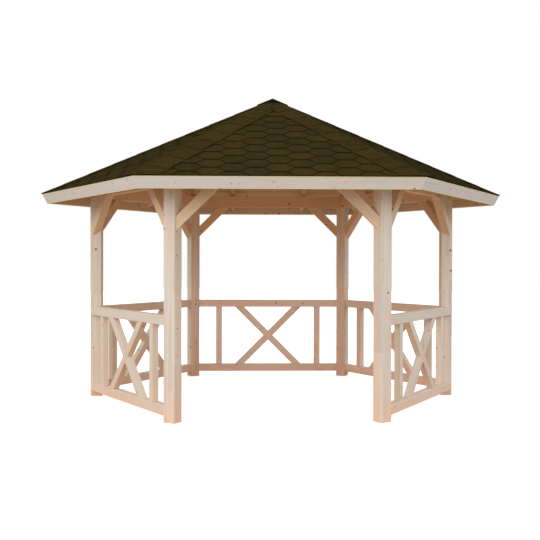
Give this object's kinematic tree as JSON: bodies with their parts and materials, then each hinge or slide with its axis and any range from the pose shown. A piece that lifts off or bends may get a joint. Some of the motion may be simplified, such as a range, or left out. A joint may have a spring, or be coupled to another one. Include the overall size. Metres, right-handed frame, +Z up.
{
  "type": "hexagonal garden gazebo",
  "caption": "Hexagonal wooden garden gazebo: square posts, knee-braced ring beams, cross-braced balustrades, an open front and a shingled pyramid roof.",
  "frame": {"origin": "on the ground under the apex, in the middle of the six posts", "axes": "+Z up, the open side faces -Y, +X to the right across two opposite posts"},
  "size_m": [5.004, 4.3336, 3.2279],
  "materials": {
    "post_spruce": "planed spruce, untreated, pale cream",
    "frame_spruce": "planed spruce, untreated",
    "rail_spruce": "planed spruce, untreated, pale cream",
    "board_spruce": "tongue and groove spruce boards",
    "fascia_spruce": "planed spruce, untreated, pale cream",
    "bitumen_shingle": "mineral-surfaced bitumen shingle, matt, dark olive brown",
    "apex_felt": "bitumen felt, matt, blackish"
  },
  "bodies": {
    "root": {"post_left": "post_spruce", "post_front_left": "post_spruce", "post_front_right": "post_spruce", "post_right": "post_spruce", "post_back_right": "post_spruce", "post_back_left": "post_spruce", "beam_front": "frame_spruce", "beam_front_right": "frame_spruce", "beam_back_right": "frame_spruce", "beam_back": "frame_spruce", "beam_back_left": "frame_spruce", "beam_front_left": "frame_spruce", "knee_braces_front": "frame_spruce", "knee_braces_front_right": "frame_spruce", "knee_braces_back_right": "frame_spruce", "knee_braces_back": "frame_spruce", "knee_braces_back_left": "frame_spruce", "knee_braces_front_left": "frame_spruce", "balustrade_front_right": "rail_spruce", "balustrade_back_right": "rail_spruce", "balustrade_back": "rail_spruce", "balustrade_back_left": "rail_spruce", "balustrade_front_left": "rail_spruce", "hip_rafters": "frame_spruce", "jack_rafters": "frame_spruce", "roof_boards_front": "board_spruce", "roof_boards_front_right": "board_spruce", "roof_boards_back_right": "board_spruce", "roof_boards_back": "board_spruce", "roof_boards_back_left": "board_spruce", "roof_boards_front_left": "board_spruce", "fascia_front": "fascia_spruce", "fascia_front_right": "fascia_spruce", "fascia_back_right": "fascia_spruce", "fascia_back": "fascia_spruce", "fascia_back_left": "fascia_spruce", "fascia_front_left": "fascia_spruce", "shingles_front": "bitumen_shingle", "shingles_front_right": "bitumen_shingle", "shingles_back_right": "bitumen_shingle", "shingles_back": "bitumen_shingle", "shingles_back_left": "bitumen_shingle", "shingles_front_left": "bitumen_shingle", "hip_caps": "bitumen_shingle", "apex_cap": "apex_felt"}
  },
  "joints": []
}
